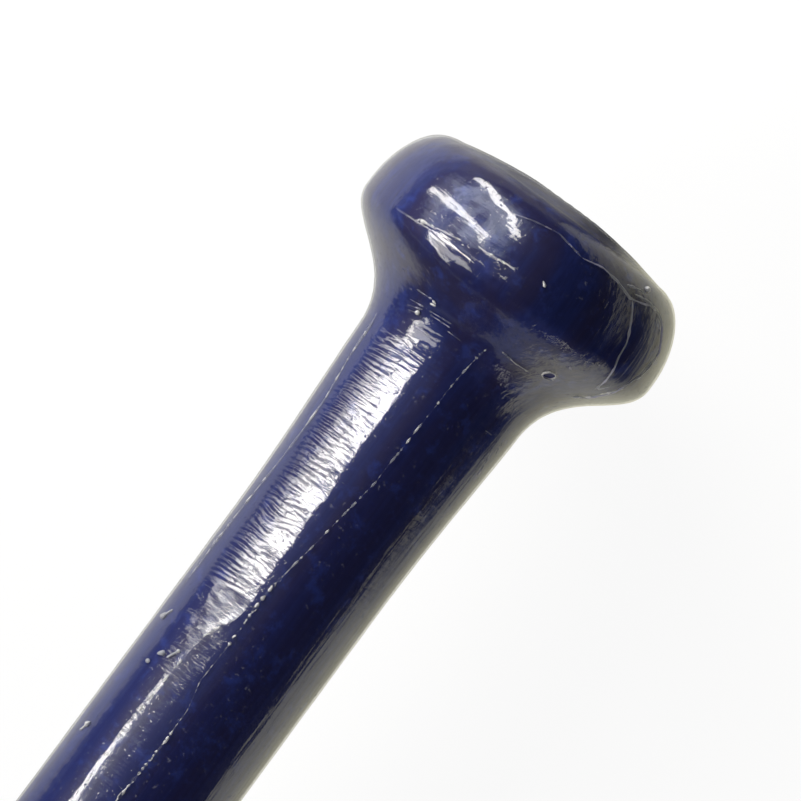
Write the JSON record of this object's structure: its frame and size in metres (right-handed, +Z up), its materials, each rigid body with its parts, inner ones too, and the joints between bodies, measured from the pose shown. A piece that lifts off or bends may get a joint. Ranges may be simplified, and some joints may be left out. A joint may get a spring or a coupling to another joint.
{
  "type": "baseball bat",
  "caption": "Laminated bamboo baseball bat with a domed knob, slim navy handle and full barrel, turned from glued strips and wrapped in a clear shrink-film sleeve.",
  "frame": {"origin": "centre of the sleeve's flat over the knob end, on the bat's axis", "axes": "+X along the bat from the knob to the barrel end, +Z up as the bat lies, with the strips' rows level"},
  "size_m": [0.838, 0.064, 0.064],
  "materials": {
    "navy_lacquered_bamboo": "gloss navy lacquer over bamboo",
    "clear_lacquered_bamboo": "clear gloss lacquer over bamboo",
    "clear_film": "clear shrunk film, wrinkled"
  },
  "bodies": {
    "root": {"barrel_strip_lower1_right": "clear_lacquered_bamboo", "barrel_strip_lower2_left": "clear_lacquered_bamboo", "barrel_strip_lower3_left": "clear_lacquered_bamboo", "barrel_strip_lower3_middle": "clear_lacquered_bamboo", "barrel_strip_lower3_right": "clear_lacquered_bamboo", "barrel_strip_lower4_middle": "clear_lacquered_bamboo", "barrel_strip_lower4_right": "clear_lacquered_bamboo", "barrel_strip_upper1_left": "clear_lacquered_bamboo", "barrel_strip_upper2_right": "clear_lacquered_bamboo", "barrel_strip_upper3_left": "clear_lacquered_bamboo", "barrel_strip_upper3_middle": "clear_lacquered_bamboo", "barrel_strip_upper3_right": "clear_lacquered_bamboo", "barrel_strip_upper4_left": "clear_lacquered_bamboo", "barrel_strip_upper4_middle": "clear_lacquered_bamboo", "core_strip_lower1_left": "navy_lacquered_bamboo", "core_strip_lower1_middle": "navy_lacquered_bamboo", "core_strip_lower2_middle": "navy_lacquered_bamboo", "core_strip_lower2_right": "navy_lacquered_bamboo", "core_strip_upper1_middle": "navy_lacquered_bamboo", "core_strip_upper1_right": "navy_lacquered_bamboo", "core_strip_upper2_left": "navy_lacquered_bamboo", "core_strip_upper2_middle": "navy_lacquered_bamboo", "film_sleeve": "clear_film", "knob_piece_lower3_left": "navy_lacquered_bamboo", "knob_piece_lower3_middle": "navy_lacquered_bamboo", "knob_piece_upper3_middle": "navy_lacquered_bamboo", "knob_piece_upper3_right": "navy_lacquered_bamboo"}
  },
  "joints": []
}
